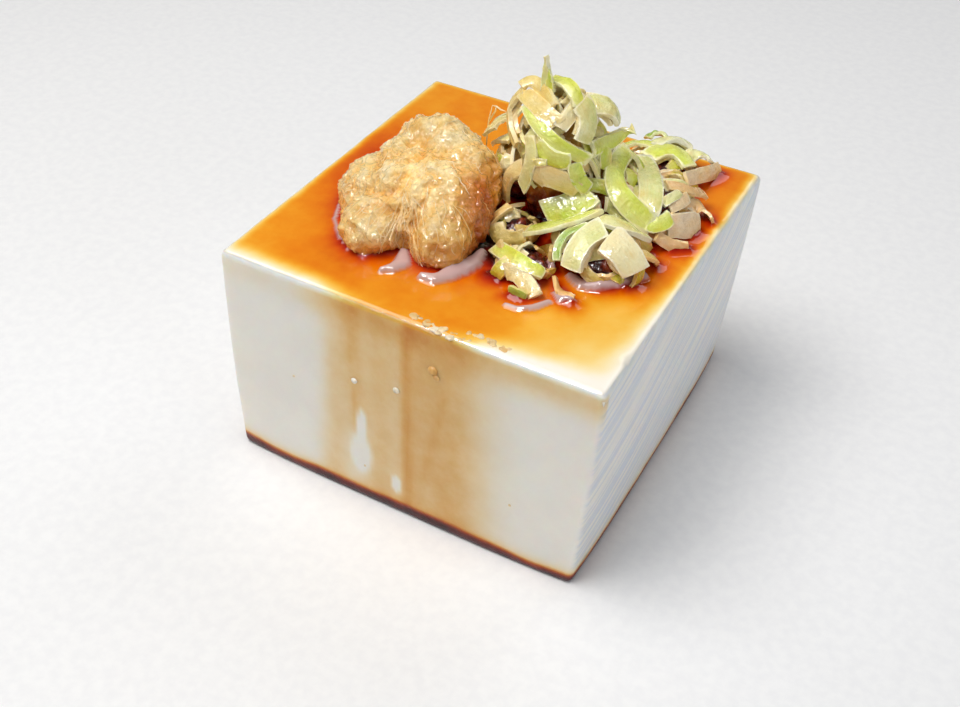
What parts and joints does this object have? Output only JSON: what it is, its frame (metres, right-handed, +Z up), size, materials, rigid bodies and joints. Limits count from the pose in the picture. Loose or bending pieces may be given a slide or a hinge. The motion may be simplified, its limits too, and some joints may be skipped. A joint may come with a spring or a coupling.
{
  "type": "tofu block",
  "caption": "Chilled block of soft tofu topped with a mound of grated ginger and a heap of sliced spring onion under a thin film of sauce.",
  "frame": {"origin": "middle of the block's foot, on the ground, at the bottom centre of the whole part's box", "axes": "+Z up, +X to the right along the wide front face, +Y towards the back"},
  "size_m": [0.0808, 0.0814, 0.0835],
  "materials": {
    "tofu": "moist satin",
    "ginger": "wet",
    "onion": "wet"
  },
  "bodies": {
    "root": {"tofu_block": "tofu", "grated_ginger": "ginger", "spring_onion": "onion"}
  },
  "joints": []
}
